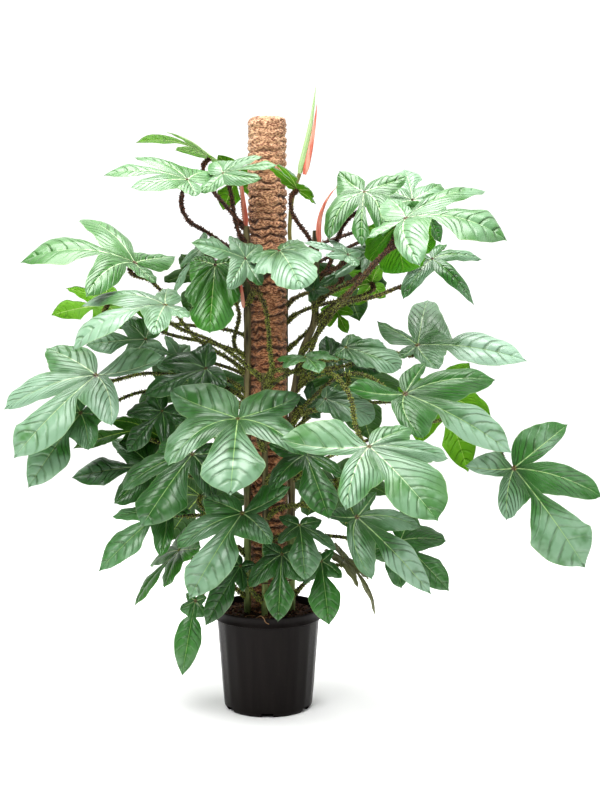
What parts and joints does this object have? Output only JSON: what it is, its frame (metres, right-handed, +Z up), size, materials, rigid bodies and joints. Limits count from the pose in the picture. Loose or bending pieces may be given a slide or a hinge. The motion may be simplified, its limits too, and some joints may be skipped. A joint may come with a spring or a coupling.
{
  "type": "potted climbing philodendron",
  "caption": "Climbing philodendron with lobed leaves on bristly red stalks, tied to a coir pole in a black nursery pot.",
  "frame": {"origin": "centre of the pot's base, on the surface that it stands on", "axes": "+Z up along the pole, -Y towards the viewer of the picture, +X to the viewer's right"},
  "size_m": [1.4891, 0.8307, 1.562],
  "materials": {
    "black_plastic": "black, satin",
    "soil": "dark brown, crumbly",
    "stake_wood": "raw softwood",
    "coir": "brown coir fibre, rough",
    "tie_fibre": "dark brown fibre",
    "stem_bark": "brown bark with reddish bristles",
    "leaf_upper": "green, glossy, pleated",
    "leaf_rear": "dark green, glossy, pleated",
    "new_leaf": "pale green, satin",
    "sheath": "salmon pink, satin",
    "dry_leaf": "dry brown, matte"
  },
  "bodies": {
    "root": {"pot": "black_plastic", "soil": "soil", "pole_core": "stake_wood", "coir_wrap": "coir", "tie_1": "tie_fibre", "tie_2": "tie_fibre", "leaf_top_left_1": "leaf_upper", "leaf_top_left_2": "leaf_upper", "leaf_top_left_3": "leaf_upper", "leaf_top_right_1": "leaf_upper", "leaf_top_right_2": "leaf_upper", "leaf_top_right_3": "leaf_upper", "leaf_top_right_4": "leaf_upper", "leaf_top_right_5": "leaf_upper", "leaf_upper_1": "leaf_upper", "leaf_upper_2": "leaf_upper", "leaf_upper_3": "leaf_upper", "leaf_upper_4": "leaf_upper", "leaf_upper_5": "leaf_upper", "leaf_upper_6": "leaf_upper", "leaf_upper_7": "leaf_upper", "leaf_left_1": "leaf_upper", "leaf_left_2": "leaf_upper", "leaf_left_4": "leaf_upper", "leaf_left_5": "leaf_upper", "leaf_left_6": "leaf_upper", "leaf_left_7": "leaf_upper", "leaf_middle_1": "leaf_upper", "leaf_middle_2": "leaf_upper", "leaf_middle_3": "leaf_upper", "leaf_middle_4": "leaf_upper", "leaf_right_1": "leaf_upper", "leaf_right_2": "leaf_upper", "leaf_right_3": "leaf_upper", "leaf_right_4": "leaf_upper", "leaf_right_5": "leaf_upper", "leaf_far_right": "leaf_upper", "leaf_low_1": "leaf_upper", "leaf_low_2": "leaf_upper", "leaf_low_3": "leaf_upper", "leaf_low_4": "leaf_upper", "leaf_low_5": "leaf_upper", "leaf_low_left_1": "leaf_upper", "leaf_low_left_2": "leaf_upper", "leaf_low_left_3": "leaf_upper", "leaf_low_left_4": "leaf_upper", "leaf_low_left_5": "leaf_upper", "leaf_low_left_6": "leaf_upper", "leaf_low_left_7": "leaf_upper", "dried_leaf": "dry_leaf", "stem_left": "stem_bark", "stem_front": "stem_bark", "stem_right": "stem_bark", "shoot_back_left": "leaf_rear", "shoot_back_right": "leaf_rear", "new_leaf_spear": "new_leaf", "sheath_top": "sheath", "sheath_left": "sheath", "sheath_middle": "sheath", "sheath_right": "sheath"}
  },
  "joints": []
}
